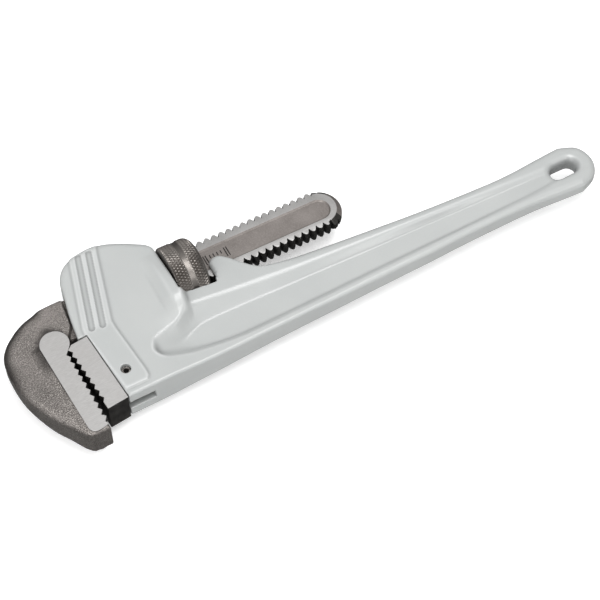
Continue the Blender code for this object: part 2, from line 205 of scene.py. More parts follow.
def surface_net(field, low, spacing):
    """Vertices and quads of the field's zero surface, one vertex in each cell that it crosses."""
    inside = field < 0
    nx, ny, nz = field.shape
    corners = [(i, j, k) for i in (0, 1) for j in (0, 1) for k in (0, 1)]
    count = sum(inside[i:nx - 1 + i, j:ny - 1 + j, k:nz - 1 + k].astype(np.int8) for i, j, k in corners)
    mixed = (count > 0) & (count < 8)
    cells = np.argwhere(mixed)
    number = np.full(mixed.shape, -1)
    number[mixed] = np.arange(len(cells))
    total = np.zeros((len(cells), 3))
    crossings = np.zeros(len(cells))
    for axis in range(3):
        for corner in corners:
            if corner[axis]:
                continue
            start = cells + corner
            end = start.copy()
            end[:, axis] += 1
            a = field[tuple(start.T)]
            b = field[tuple(end.T)]
            crossed = (a < 0) != (b < 0)
            place = np.array(corner, float) + np.zeros((len(cells), 3))
            place[:, axis] += np.where(crossed, a / np.where(crossed, a - b, 1), 0)
            total[crossed] += place[crossed]
            crossings += crossed
    points = low + (cells + total / crossings[:, None]) * spacing
    quads = []
    for axis in range(3):
        one, two = [a for a in range(3) if a != axis]
        edge_low = [slice(None)] * 3
        edge_high = [slice(None)] * 3
        edge_low[axis] = slice(0, -1)
        edge_high[axis] = slice(1, None)
        starts_inside = inside[tuple(edge_low)]
        changes = starts_inside != inside[tuple(edge_high)]
        edges = np.argwhere(changes)
        outward = starts_inside[tuple(edges.T)]
        around = []
        for shift_one, shift_two in ((1, 1), (0, 1), (0, 0), (1, 0)):
            cell = edges.copy()
            cell[:, one] -= shift_one
            cell[:, two] -= shift_two
            around.append(number[tuple(cell.T)])
        ring = np.stack(around, 1)
        if axis == 1:
            outward = ~outward
        quads.append(np.where(outward[:, None], ring, ring[:, ::-1]))
    return points, np.concatenate(quads)


def net_object(name, field, axes, spacing, materials):
    """Mesh of a field's surface, drawn onto the surface and given the field's own normals."""
    low = np.array([axis[0] for axis in axes])
    points, quads = surface_net(field, low, spacing)
    for _ in range(2):
        slope = gradient(field, low, spacing, points)
        value = sample(field, low, spacing, points)
        move = slope * (value / np.maximum((slope ** 2).sum(1), 0.05))[:, None]
        length = np.linalg.norm(move, axis=1, keepdims=True)
        points = points - move * np.minimum(1, 0.4 * spacing / np.maximum(length, 1e-9))
    normals = gradient(field, low, spacing, points)
    normals /= np.maximum(np.linalg.norm(normals, axis=1, keepdims=True), 1e-9)
    return mesh_object(name, points, quads, materials, normals=normals)


# ---------------------------------------------------------------- mesh helpers

def mesh_object(name, points, faces, materials, normals=None):
    """Object from points in drawing millimetres; faces as tuples, or as rows of an array."""
    placed = np.asarray(points, float) * MM + np.array(ORIGIN)
    if isinstance(faces, np.ndarray):
        faces = faces.tolist()
    mesh = bpy.data.meshes.new(name)
    mesh.from_pydata(placed.tolist(), [], faces)
    for material in materials:
        mesh.materials.append(material)
    mesh.update()
    mesh.shade_smooth()
    if normals is not None:
        mesh.normals_split_custom_set_from_vertices(normals.tolist())
    piece = bpy.data.objects.new(name, mesh)
    bpy.context.scene.collection.objects.link(piece)
    return piece


def loft_faces(count, rings):
    """Faces of a closed solid through rings of count points each."""
    faces = [tuple(range(count))[::-1]]
    for ring in range(rings - 1):
        base = ring * count
        for i in range(count):
            j = (i + 1) % count
            faces.append((base + i, base + j, base + count + j, base + count + i))
    last = (rings - 1) * count
    faces.append(tuple(range(last, last + count)))
    return faces


def recalculated(piece):
    """Faces turned outward and edges over 30 degrees kept sharp."""
    bm = bmesh.new()
    bm.from_mesh(piece.data)
    bmesh.ops.recalc_face_normals(bm, faces=bm.faces)
    bm.to_mesh(piece.data)
    bm.free()
    piece.data.shade_smooth()
    piece.data.set_sharp_from_angle(angle=math.radians(30))
    return piece


def prism(name, outline, low, high, materials=()):
    """Straight solid with the same outline at two heights."""
    points = [(x, y, z) for z in (low, high) for x, y in outline]
    return recalculated(mesh_object(name, points, loft_faces(len(outline), 2), materials))


def apply_modifiers(piece):
    """Evaluated mesh put in place of the piece's own, with no modifier left."""
    bpy.context.view_layer.update()
    evaluated = piece.evaluated_get(bpy.context.evaluated_depsgraph_get())
    mesh = bpy.data.meshes.new_from_object(evaluated)
    piece.modifiers.clear()
    old = piece.data
    piece.data = mesh
    bpy.data.meshes.remove(old)
    return piece


def boolean(piece, operation, tool):
    """EXACT Boolean, applied, with the tool removed."""
    modifier = piece.modifiers.new("boolean", "BOOLEAN")
    modifier.operation = operation
    modifier.solver = "EXACT"
    modifier.object = tool
    apply_modifiers(piece)
    bpy.data.objects.remove(tool, do_unlink=True)
    return piece


def bevelled(piece, width, segments=2, angle=35):
    """Edges sharper than the angle, in degrees, rounded by a width in millimetres."""
    modifier = piece.modifiers.new("bevel", "BEVEL")
    modifier.width = width * MM
    modifier.segments = segments
    modifier.limit_method = "ANGLE"
    modifier.angle_limit = math.radians(angle)
    modifier.harden_normals = False
    return apply_modifiers(piece)


# ---------------------------------------------------------------- materials

class Nodes:
    """Short-hand for one material's node tree."""

    def __init__(self, name):
        self.material = bpy.data.materials.new(name)
        self.material.use_nodes = True
        self.tree = self.material.node_tree
        self.shader = self.tree.nodes["Principled BSDF"]
        self.place = self.tree.nodes.new("ShaderNodeTexCoord").outputs["Object"]

    def link(self, output, socket):
        self.tree.links.new(output, socket)

    def set(self, **values):
        for name, value in values.items():
            self.shader.inputs[name.replace("_", " ")].default_value = value

    def stretched(self, scale, turn=0.0):
        mapping = self.tree.nodes.new("ShaderNodeMapping")
        mapping.inputs["Scale"].default_value = scale
        mapping.inputs["Rotation"].default_value = (0, 0, turn)
        self.link(self.place, mapping.inputs["Vector"])
        return mapping.outputs["Vector"]

    def noise(self, scale, detail, roughness, vector=None):
        node = self.tree.nodes.new("ShaderNodeTexNoise")
        node.inputs["Scale"].default_value = scale
        node.inputs["Detail"].default_value = detail
        node.inputs["Roughness"].default_value = roughness
        self.link(vector or self.place, node.inputs["Vector"])
        return node.outputs["Fac"]

    def ramp(self, value, stops):
        node = self.tree.nodes.new("ShaderNodeValToRGB")
        elements = node.color_ramp.elements
        while len(elements) < len(stops):
            elements.new(0.5)
        for element, (position, colour) in zip(elements, stops):
            element.position = position
            element.color = (*colour, 1.0)
        self.link(value, node.inputs["Fac"])
        return node.outputs["Color"]

    def mix(self, factor, colour, second):
        """Colour output blended towards a second colour, given as a tuple, by the factor output."""
        node = self.tree.nodes.new("ShaderNodeMix")
        node.data_type = "RGBA"
        self.link(factor, node.inputs["Factor"])
        self.link(colour, node.inputs["A"])
        node.inputs["B"].default_value = (*second, 1.0)
        return node.outputs["Result"]

    def painted_light_value(self):
        """Value of the point attribute that holds the painted shade and painted highlight."""
        node = self.tree.nodes.new("ShaderNodeAttribute")
        node.attribute_name = "painted_shade_and_highlight"
        return node.outputs["Fac"]

    def range(self, value, low, high, new_low, new_high):
        node = self.tree.nodes.new("ShaderNodeMapRange")
        node.inputs["From Min"].default_value = low
        node.inputs["From Max"].default_value = high
        node.inputs["To Min"].default_value = new_low
        node.inputs["To Max"].default_value = new_high
        self.link(value, node.inputs["Value"])
        return node.outputs["Result"]

    def bump(self, height, distance, strength=1.0, normal=None):
        node = self.tree.nodes.new("ShaderNodeBump")
        node.inputs["Strength"].default_value = strength
        node.inputs["Distance"].default_value = distance
        self.link(height, node.inputs["Height"])
        if normal is not None:
            self.link(normal, node.inputs["Normal"])
        return node.outputs["Normal"]

    def colour(self, output):
        self.link(output, self.shader.inputs["Base Color"])

    def rough(self, output):
        self.link(output, self.shader.inputs["Roughness"])

    def normal(self, output):
        self.link(output, self.shader.inputs["Normal"])


def paint_material():
    """Silver-grey enamel, with painted shade in the creases and a painted highlight on the convex edges."""
    n = Nodes("silver_grey_paint")
    n.set(Metallic=0.0, Coat_Weight=0.42, Coat_Roughness=0.18)
    tint = n.noise(22.0, 3.0, 0.55)
    speck = n.noise(2400.0, 2.0, 0.6)
    base = n.ramp(tint, [(0.3, (0.392, 0.405, 0.401)), (0.7, (0.418, 0.430, 0.424))])
    painted_light_value = n.painted_light_value()
    # painted shade: darker where the point attribute is positive, in the creases
    base = n.mix(n.range(painted_light_value, 0.03, 0.3, 0.0, 0.6), base, (0.20, 0.205, 0.205))
    # painted highlight: lighter where the point attribute is negative, on the convex edges
    base = n.mix(n.range(painted_light_value, -0.03, -0.3, 0.0, 0.5), base, (0.62, 0.63, 0.63))
    n.colour(n.mix(n.range(speck, 0.55, 0.75, 0.0, 0.15), base, (0.6, 0.61, 0.61)))
    n.rough(n.range(tint, 0.3, 0.7, 0.3, 0.38))
    peel = n.noise(520.0, 2.0, 0.5)
    cast = n.noise(90.0, 3.0, 0.5)
    n.normal(n.bump(peel, 0.00003, 0.6, n.bump(cast, 0.00018, 0.35)))
    return n.material


def forged_material():
    """Shot-blasted forging, with painted shade round the tooth block's end and on the outer rim."""
    n = Nodes("forged_steel")
    n.set(Metallic=0.75)
    cloud = n.noise(50.0, 3.0, 0.5)
    grain = n.noise(1150.0, 3.0, 0.65)
    tone = n.ramp(cloud, [(0.3, (0.115, 0.104, 0.097)), (0.72, (0.195, 0.178, 0.167))])
    tone = n.mix(n.range(grain, 0.44, 0.66, 0.0, 0.85), tone, (0.42, 0.39, 0.365))
    # painted shade: the point attribute darkens the rear outer rim and the ring round the tooth block's end
    n.colour(n.mix(n.range(n.painted_light_value(), 0.1, 1.0, 0.0, 0.85), tone, (0.045, 0.041, 0.038)))
    n.rough(n.range(grain, 0.3, 0.7, 0.42, 0.24))
    n.normal(n.bump(grain, 0.0006, 1.0, n.bump(cloud, 0.0006, 0.3)))
    return n.material


def ground_material():
    """Steel ground flat, with fine slanting marks."""
    n = Nodes("ground_steel")
    n.set(Metallic=0.55)
    marks = n.noise(1.0, 3.0, 0.65, n.stretched((260, 5200, 900), math.radians(38)))
    broad = n.noise(60.0, 2.0, 0.5)
    tone = n.ramp(marks, [(0.3, (0.35, 0.343, 0.336)), (0.7, (0.49, 0.483, 0.476))])
    n.colour(n.mix(n.range(broad, 0.3, 0.7, 0.0, 0.25), tone, (0.39, 0.378, 0.367)))
    n.rough(n.range(marks, 0.3, 0.7, 0.34, 0.5))
    n.normal(n.bump(marks, 0.00004, 0.5))
    return n.material


def blackened_material():
    """Steel blackened by heat treatment."""
    n = Nodes("blackened_steel")
    n.set(Metallic=0.5)
    cloud = n.noise(160.0, 4.0, 0.65)
    n.colour(n.ramp(cloud, [(0.3, (0.016, 0.015, 0.014)), (0.75, (0.055, 0.052, 0.048))]))
    n.rough(n.range(cloud, 0.3, 0.7, 0.42, 0.62))
    n.normal(n.bump(n.noise(1400.0, 3.0, 0.6), 0.00008, 0.6))
    return n.material


def nut_material():
    """Turned steel, with a faint grain around its axis."""
    n = Nodes("machined_steel")
    n.set(Metallic=0.85)
    turned = n.noise(1.0, 2.0, 0.6, n.stretched((4200, 40, 40)))
    cloud = n.noise(70.0, 3.0, 0.6)
    tone = n.ramp(cloud, [(0.3, (0.11, 0.099, 0.091)), (0.7, (0.18, 0.165, 0.153))])
    n.colour(n.mix(n.range(turned, 0.35, 0.7, 0.0, 0.4), tone, (0.24, 0.225, 0.21)))
    n.rough(n.range(cloud, 0.3, 0.7, 0.38, 0.3))
    n.normal(n.bump(turned, 0.00002, 0.5))
    return n.material


def shank_material():
    """Light, worn steel of the shank's flats."""
    n = Nodes("shank_steel")
    n.set(Metallic=0.6)
    cloud = n.noise(55.0, 4.0, 0.6)
    grain = n.noise(1300.0, 3.0, 0.65)
    tone = n.ramp(cloud, [(0.3, (0.30, 0.294, 0.288)), (0.7, (0.40, 0.394, 0.388))])
    n.colour(n.mix(n.range(grain, 0.4, 0.7, 0.0, 0.35), tone, (0.48, 0.47, 0.46)))
    n.rough(n.range(grain, 0.3, 0.7, 0.42, 0.32))
    n.normal(n.bump(grain, 0.00008, 0.5))
    return n.material


def panel_material():
    """Darker, rougher steel in the shank's sunk panels."""
    n = Nodes("panel_steel")
    n.set(Metallic=0.6)
    cloud = n.noise(50.0, 4.0, 0.6)
    grain = n.noise(1000.0, 4.0, 0.7)
    tone = n.ramp(cloud, [(0.3, (0.165, 0.148, 0.137)), (0.7, (0.23, 0.208, 0.195))])
    n.colour(n.mix(n.range(grain, 0.45, 0.7, 0.0, 0.5), tone, (0.30, 0.275, 0.26)))
    n.rough(n.range(grain, 0.3, 0.7, 0.5, 0.38))
    n.normal(n.bump(grain, 0.00012, 0.7))
    return n.material


def thread_material():
    """Nearly black steel of the thread: dark partly with oil, partly as painted shade."""
    n = Nodes("thread_steel")
    n.set(Metallic=0.7)
    grain = n.noise(800.0, 3.0, 0.6)
    n.colour(n.ramp(grain, [(0.3, (0.02, 0.019, 0.018)), (0.7, (0.06, 0.057, 0.053))]))
    n.rough(n.range(grain, 0.3, 0.7, 0.48, 0.36))
    n.normal(n.bump(grain, 0.00006, 0.5))
    return n.material


def spring_material():
    """Plain spring steel."""
    n = Nodes("spring_steel")
    n.set(Metallic=0.9)
    cloud = n.noise(120.0, 3.0, 0.6)
    n.colour(n.ramp(cloud, [(0.3, (0.2, 0.2, 0.21)), (0.7, (0.34, 0.34, 0.35))]))
    n.rough(n.range(cloud, 0.3, 0.7, 0.3, 0.42))
    n.normal(n.bump(n.noise(1500.0, 2.0, 0.5), 0.00003, 0.5))
    return n.material


def floor_material():
    """Pale floor, with a little light of its own so that shadows stay soft."""
    n = Nodes("pale_floor")
    n.set(Roughness=0.9, Emission_Color=(1, 1, 1, 1), Emission_Strength=0.3)
    tint = n.noise(3.0, 3.0, 0.5)
    n.colour(n.ramp(tint, [(0.3, (0.94, 0.94, 0.94)), (0.7, (0.96, 0.96, 0.96))]))
    return n.material


# ---------------------------------------------------------------- handle casting

def handle_outline():
    """Plan of the casting, from the heel jaw's seat round by the nut side. Its edges are rounded later."""
    heel_seat = [(5.5, -55.6), (0.5, 0.3)]
    housing = smooth([(-6, 0.3), (-3.5, 20), (-0.2, 37), (3.1, 52), (11.2, 61.3), (25, 65.05),
                      (40, 64.5), (56, 57.5), (66, 50.4), (NUT_FACE_X, 44)])
    window = [(NUT_FACE_X, 41), (NUT_FACE_X, 3), (WINDOW_END_X, 3)]
    lug = smooth([(WINDOW_END_X, 15.5), (102.8, 18.6), (108, 18.6), (114.5, 13.5), (122, 5),
                  (131, -2.5), (146, -5.3), (165, -6.9)])
    grip_rear = smooth([(165, -6.9), (200, -9.6), (250, -13.2), (300, -15.4), (325, -15.4),
                        (350, -13.5), (368, -12.3)])
    tail = smooth([(368, -12.3), (381.0, -18.6), (TAIL_X, -31.3), (380.5, -43.9), (368, -49.7)])
    grip_front = smooth([(368, -49.7), (350, -48.8), (325, -47.1), (300, -46.9), (267, -47.7),
                         (241, -48.9), (217, -49.5), (172, -50.9), (137, -51.7), (105, -52.9),
                         (74, -54.3), (40, -55.0), (6, -55.6)])
    return heel_seat + housing + window + lug + grip_rear + tail + grip_front


def casting_top(x, y):
    """Half thickness of the casting without its hollow and lip: thick at the housing, thin along the grip."""
    front = through([(-12, 13.5), (20, 13.5), (38, 13.2), (59, 11.7), (89, 10.4), (105, 9.8), (121, 9.4),
                     (137, 9.1), (172, 8.5), (217, 8.1), (242, 7.8), (300, 7.5), (392, 7.5)])
    rear = through([(-12, 13.5), (58, 13.5), (74, 12.2), (88, 11.2), (100, 10.4), (121, 9.5), (137, 9.1),
                    (172, 8.5), (217, 8.1), (242, 7.8), (300, 7.5), (392, 7.5)])
    rearward = step(y, -24, -8)
    return front(x) * (1 - rearward) + rear(x) * rearward


def hollow_surface(x, y, top):
    """Height of the long hollow's floor and walls, the walls carried on upward past its rim."""
    rear_edge = through([(33.6, -31), (35.5, -25.6), (41.2, -22.5), (47.5, -20.8), (52.5, -19.5),
                         (58.6, -17.6), (64.3, -14.4), (70.1, -10.9), (74.6, -9.7), (81, -9.9),
                         (96, -10.9), (125, -12.7), (155, -15.1), (190, -17.3), (233, -19.7),
                         (281, -22.1), (330, -24.4), (356, -25.5)])
    rear_floor = through([(33.6, -32), (42, -32), (49, -31), (58, -28.4), (68, -24.6), (78, -22.6),
                          (105, -22.4), (136, -23.1), (167, -23.4), (206, -24.3), (255, -24.9),
                          (281, -25.9), (330, -28), (356, -29)])
    front_floor = through([(33.6, -31), (42, -34), (52, -36.6), (66, -39.2), (80, -41.3), (95, -42.5),
                           (110, -42.6), (141, -42), (177, -41.2), (221, -40.1), (270, -39.5),
                           (330, -38.6), (356, -36.2)])
    front_edge = through([(33.6, -31.6), (34.8, -34.4), (40, -38.8), (46.2, -41.4), (55, -43.8),
                          (63, -45.4), (80, -47.3), (94, -48.2), (110, -48.0), (141, -47.0),
                          (177, -45.8), (221, -44.4), (270, -42.8), (330, -41.2), (356, -38.2)])
    nose_x = 39.5
    nose_slope_length = 6.0
    least_wall = 0.5
    highest_wall = 25
    floor = 3.5 + 4.5 * (1 - step(x, 34, 64)) + 2.4 * step(x, 250, 350)
    depth = top - floor
    up_rear = np.maximum((y - rear_floor(x)) / np.maximum(rear_edge(x) - rear_floor(x), least_wall), 0)
    rear = depth * up_rear + lip_rise(x, rear_edge(x), top) * up_rear ** 3
    front = depth * (front_floor(x) - y) / np.maximum(front_floor(x) - front_edge(x), least_wall)
    nose = depth * (nose_x - x) / nose_slope_length
    end = depth * 1.3 * step(x, 352, 366)
    wall = np.maximum(np.maximum(rear, front), np.maximum(nose, end))
    return floor + np.clip(wall, 0, highest_wall)


def lip_rise(x, y, top):
    """Extra height of the lip that covers the nut's face, falling away towards the hollow."""
    crest = through([(-70, 8), (-34, 8), (-24, 11.5), (-16, 13.1), (-13, 13.8), (-10.5, 14.8), (-8, 16.1),
                     (-5.5, 17.4), (-3, 18.4), (0, 19.0), (8, 19.2), (18, 18.3), (28, 16.2), (38, 13.6),
                     (46, 11.5), (70, 0)])
    foot_x = 56.2
    slope_length = 7.6
    lean = 0.19
    lean_start_y = 0.6
    rise = np.clip((x - foot_x) / slope_length, 0, 1)
    fall = 1 - step(x - lean * np.minimum(y - lean_start_y, 0), 71.2, 75.0)
    return np.maximum(crest(y) - top, 0) * rise * fall


def pad_rise(x, y):
    """Low pad with two round-ended grooves, beside the heel jaw."""
    pad = [(6.0, -49.9), (-0.6, 1.5), (-0.4, 5.0), (13.4, 55.8), (15.5, 64), (28, 70), (37.5, 68),
           (34.0, 55.6), (20.2, 2.4), (20.3, -4.0), (24.3, -42.0), (24.2, -47.0), (22.0, -49.9)]
    groove_feet = ((5.6, 2.9), (13.35, 2.0))
    groove_length = 57.5
    lean = 0.272
    edge = polygon_distance(x, y, pad)
    rise = 1 - step(edge, -0.9, 0.9)
    for foot_x, foot_y in groove_feet:
        along = (y - foot_y + lean * (x - foot_x)) / (1 + lean * lean)
        along = np.clip(along, 0, groove_length)
        away = np.hypot(x - foot_x - lean * along, y - foot_y - along)
        rise = rise - (1 - step(away, 1.8, 2.5))
    return rise


def add_painted_light(piece, plan_map, axes, spacing):
    """Point attribute of painted shade and painted highlight: the plan map's value on the faces that look up
    or down, 0 on the sides.
    """
    count = len(piece.data.vertices)
    points = np.zeros(count * 3)
    piece.data.vertices.foreach_get("co", points)
    points = (points.reshape(-1, 3) - np.array(ORIGIN)) / MM
    points[:, 2] = 0
    low = np.array([axes[0][0], axes[1][0], 0])
    values = sample(np.repeat(plan_map[..., None], 2, 2), low, spacing, points)
    normals = np.zeros(count * 3)
    piece.data.vertices.foreach_get("normal", normals)
    least_normal_z = 0.3
    values = values * (np.abs(normals.reshape(-1, 3)[:, 2]) > least_normal_z)
    if piece.name == "handle_casting":
        values = values + hole_painted_shade(points)
    attribute = piece.data.attributes.new("painted_shade_and_highlight", "FLOAT", "POINT")
    attribute.data.foreach_set("value", values)


def hole_painted_shade(points):
    """Painted shade on the hanging hole's walls, fading out over its rim."""
    middle_x = np.clip(points[:, 0], HOLE_START_X, HOLE_END_X + 1.5)
    away = np.hypot(points[:, 0] - middle_x, points[:, 1] - HOLE_Y)
    return 0.3 * (1 - step(away, HOLE_RADIUS, 8.5))


def edge_radius(x, y, half):
    """Roundness of the casting's outer edge: fuller at the housing, along the grip and on the lug."""
    housing = 4.0 * step(y, 20, 55) * (1 - step(x, 60, 72))
    rear_grip = 2.6 * step(y, -40, -20) * step(x, 128, 160)
    front_grip = 2.2 * step(x, 300, 350) * (1 - step(y, -40, -20))
    whole_grip = 0.8 * step(x, 130, 200)
    heel_seat = -1.6 * (1 - step(x, 4, 9)) * (1 - step(y, -2, 6)) * step(y, -54, -51)
    lug = 1.6 * (1 - step(x, 103, 110)) * step(x, 97, 98) * step(y, 4, 7)
    radius = 2.2 + housing + rear_grip + front_grip + whole_grip + heel_seat + lug
    return np.minimum(radius, half - 1)


def handle_openings(x, y, z):
    """Solids to cut from the casting, each with its fillet."""
    plan_x = x[..., None]
    plan_y = y[..., None]
    channel = np.abs(z) - CHANNEL_HALF
    ceiling = (45 - 3.8 * step(x, 57, 62))[..., None]
    housing = np.maximum(np.maximum(channel, 4.9 - plan_y), plan_y - ceiling)
    yield np.maximum(housing, plan_x - 90), 1.2
    grip_slot = np.maximum(-1.6 - plan_y, np.maximum(76 - plan_x, plan_x - 180))
    yield np.maximum(channel, grip_slot), 1.0
    trough_radius = 24.0 + 0.032 * (plan_x - NUT_FACE_X)
    trough = np.hypot(plan_y - SHANK_Y, z) - trough_radius
    lug_clear = 0.9
    ends = np.maximum(NUT_FACE_X - plan_x, plan_x - WINDOW_END_X + lug_clear)
    yield smooth_max(trough, ends + 0 * z, 2.0), 0.7
    spring_pocket = np.hypot(plan_x - 35, z) - 8.2
    yield np.maximum(spring_pocket, np.maximum(42 - plan_y, plan_y - 61) + 0 * z), 0.1
    tang_slot_half = 4.0
    yield np.maximum(np.abs(z) - tang_slot_half, np.maximum(plan_x - 24.6, plan_y + 15.5)), 0.8
    yield np.hypot(plan_x - PIN_X, plan_y - PIN_Y) - PIN_HOLE_RADIUS + 0 * z, 0.7
    middle_x = np.clip(plan_x, HOLE_START_X, HOLE_END_X)
    yield np.hypot(plan_x - middle_x, plan_y - HOLE_Y) - HOLE_RADIUS + 0 * z, 5.5


def make_handle(material):
    """Cast handle with its housing, hollows, window, lug and hanging hole."""
    spacing = HANDLE_STEP
    axes, x, y, z = grid((-10, -59, -22), (390, 70, 22), spacing)
    top = casting_top(x, y)
    with_lip = blurred(top + lip_rise(x, y, top), 0.8 / spacing)
    hollow = hollow_surface(x, y, top)
    nose = 1 - step(x, 52, 80)
    hollow = blurred(hollow, 0.8 / spacing) * (1 - nose) + blurred(hollow, 2.4 / spacing) * nose
    half = smooth_min(with_lip, hollow, 1.4) + blurred(pad_rise(x, y), 0.25 / spacing)
    plan = polygon_distance(x, y, handle_outline())
    body = slab(plan, z, half, edge_radius(x, y, half))
    for opening, fillet in handle_openings(x, y, z):
        body = smooth_max(body, -opening, fillet)
    piece = net_object("handle_casting", body, axes, spacing, [material])
    # painted shade in the hollows and painted highlight on the ridges: the map is positive in hollows,
    # negative on ridges
    below_surroundings = (blurred(half, 1.3 / spacing) - half) * (1 - 0.5 * step(x, 36, 44))
    add_painted_light(piece, below_surroundings, axes, spacing)
    return piece


# ---------------------------------------------------------------- hook jaw

def head_outline():
    """Plan of the hook's head, from the neck round the curved back to the flat tip and the mouth."""
    back = smooth([(0, 37.2), (-10.5, 37.2), (-20, 36.7), (-29.7, 34.6), (-35, 32.6), (-40.3, 29.7),
                   (-45.2, 26.1), (-49.1, 22.9), (-52.4, 19.2), (-54.9, 15.2), (-56.5, 10.5), (-57.3, 4.2),
                   (-57.35, -2.8), (-57.0, -9.5), (-56.1, -16.7), (-54.2, -24.3), (-50.6, -34.1),
                   (-45.4, -45.2), (-39.4, -54.5), (-33.0, -64.4), (-29.4, -68.6)], 4)
    tip = [(-29.4, -68.6), (-27.4, -70.0), (-14.4, -70.0), (-14.6, -66.6), (-16.6, -62)]
    mouth = [(-18.4, -50), (-18.4, -8), (-17, -1), (-13, 3), (-9, 5.7), (0, 5.7)]
    return back + tip + mouth


def make_hook_forging(material):
    """Curved head and flat neck; the head thickens towards the tip, and swells round the block's rear end."""
    spacing = FORGING_STEP
    axes, x, y, z = grid((-60, -73, -15), (68, 41, 15), spacing)
    plan = polygon_distance(x, y, head_outline())
    beside_housing = x - (-5.8 + 0.14 * y)
    at_tip = 1 - step(y, -62, -54)
    near_neck = 1 - step(y, 3, 17)
    rear_half = 9.4
    half = rear_half + 3.5 * (1 - step(y, -50, 2))
    block_end = [(-31, -30), (-31.5, 4), (-22, 14), (-12, 6), (-12, -30)]
    from_block = np.maximum(polygon_distance(x, y, block_end), 0)
    half = half + 3.0 * np.exp(-(from_block / 4.5) ** 2) * step(y, -34, -4)
    gap = 0.4 + 0.027 * np.maximum(y, 0) + 4.0 * near_neck
    shoulder = rear_half - 3.4 * step(beside_housing + gap, -0.9 - 2.5 * near_neck, 0)
    no_limit = 40
    half = np.minimum(half, shoulder + no_limit * (1 - step(beside_housing, -12, -8)) + no_limit * at_tip)
    radius = 4.8 - 1.9 * (1 - step(y, -68, -54)) - 2.6 * step(x, -27, -19) * step(y, -56, -48)
    body = slab(plan, z, half, np.minimum(radius, half - 1))
    bar = polygon_distance(x, y, [(-22, NECK_LOW_Y), (65, NECK_LOW_Y), (65, NECK_HIGH_Y), (-22, NECK_HIGH_Y)])
    neck = slab(bar, z, SHANK_HALF + 0 * bar, 1.4 + 0 * bar)
    body = smooth_min(body, neck, 1.5)
    kept = np.maximum(step(-beside_housing, 0.5, 1.5), at_tip)
    out_of_reach = 200
    body = np.maximum(body, bar[..., None] - out_of_reach * kept[..., None])
    piece = net_object("hook_forging", body, axes, spacing, [material])
    # painted shade: dark on the rear outer rim and in a ring round the tooth block's rear end
    rim = np.exp(-(np.maximum(-plan, 0) / 5.5) ** 2) * step(y, -34, 6) * (1 - step(x, -24, -14))
    # scale holds this painted shade, the block-end ring and the rim added together
    scale = np.exp(-(from_block / 5.0) ** 2) * step(y, -24, -6) + 1.2 * rim
    add_painted_light(piece, scale, axes, spacing)
    return piece


def zigzag(first_root_y, pitch, count, tip_line, depth):
    """Teeth from the rear tip to the front tip along a line of tips."""
    points = []
    for i in range(count):
        root_y = first_root_y - pitch * i
        points.append((tip_line(root_y + pitch / 2), root_y + pitch / 2))
        points.append((tip_line(root_y) + depth, root_y))
    last_y = first_root_y - pitch * (count - 0.5)
    points.append((tip_line(last_y), last_y))
    return points


def ground_top(piece, half):
    """First material on the ground flats, second on every other face."""
    for face in piece.data.polygons:
        height = abs((face.center.z - ORIGIN.z) / MM)
        flat = height > half - 0.3 and abs(face.normal.z) > 0.3
        face.material_index = 0 if flat else 1
    return piece


def make_tooth_block(ground, dark):
    """Hardened block with a round rear end, and a round front end that stops short of the hook's tip."""
    def tips(y):
        return -15.95 + 0.034 * (-5 - y)

    rear_end = arc((-21.5, 4), 10.2, 176, -40, 30)
    teeth = zigzag(-7.5, 5.75, 11, tips, -2.1)[1:-1]
    front_end = [(-14.9, -66.9), (-15.4, -67.8), (-17.2, -68.4)] + arc((-22.2, -63.2), 5.9, -75, -165, 8)
    outline = rear_end + teeth + front_end
    piece = prism("hook_tooth_block", outline, -JAW_HALF, JAW_HALF, [ground, dark])
    return ground_top(bevelled(piece, 0.15, 1, 60), JAW_HALF)


def screw_points(start_x, end_x, root, crest, steps):
    """Points and faces of a right-hand screw with round crests about the shank's axis, open at both ends."""
    rows_per_turn = 10
    phase = 0.42
    roundness = 2.1
    rows = int((end_x - start_x) / PITCH) * rows_per_turn
    points = []
    for row in range(rows):
        fraction = row / rows_per_turn
        across = 2 * ((fraction + phase) % 1) - 1
        radius = root + (crest - root) * (1 - abs(across) ** roundness)
        for i in range(steps):
            angle = 2 * math.pi * i / steps
            x = start_x + PITCH * (fraction + i / steps)
            points.append((x, SHANK_Y + radius * math.cos(angle), radius * math.sin(angle)))

    def index(row, i):
        return (row + rows_per_turn) * steps if i == steps else row * steps + i

    faces = []
    for row in range(rows - 1):
        for i in range(steps):
            if i == steps - 1 and row + 1 + rows_per_turn >= rows:
                continue
            faces.append((index(row, i), index(row + 1, i), index(row + 1, i + 1), index(row, i + 1)))
    return points, faces


def screw(name, end_x, root, crest):
    """Closed screw from SCREW_START_X, with a fan over each open end."""
    start_x = SCREW_START_X
    points, faces = screw_points(start_x, end_x, root, crest, 60)
    piece = mesh_object(name, points, faces, [])
    bm = bmesh.new()
    bm.from_mesh(piece.data)
    low = bm.verts.new(to_frame(start_x - PITCH, SHANK_Y, 0))
    high = bm.verts.new(to_frame(end_x + PITCH, SHANK_Y, 0))
    middle = to_frame((start_x + end_x) / 2, 0, 0).x
    for edge in [e for e in bm.edges if len(e.link_faces) == 1]:
        a, b = edge.verts
        bm.faces.new((a, b, low if a.co.x < middle else high))
    bmesh.ops.recalc_face_normals(bm, faces=bm.faces)
    bm.to_mesh(piece.data)
    bm.free()
    return piece


def stadium(low_x, high_x, middle_y, radius):
    """Outline of a slot with round ends."""
    high_end = arc((high_x - radius, middle_y), radius, -90, 90, 20)
    low_end = arc((low_x + radius, middle_y), radius, 90, 270, 20)
    return high_end + low_end


def lofted(name, rings, materials=()):
    """Solid through (outline, z) rings of equally many points."""
    points = [(x, y, z) for outline, z in rings for x, y in outline]
    return recalculated(mesh_object(name, points, loft_faces(len(rings[0][0]), len(rings)), materials))


PANEL_Y = SHANK_Y - 0.8
THREAD_FROM = 9.6       # distance from the shank's middle line to where its thread starts


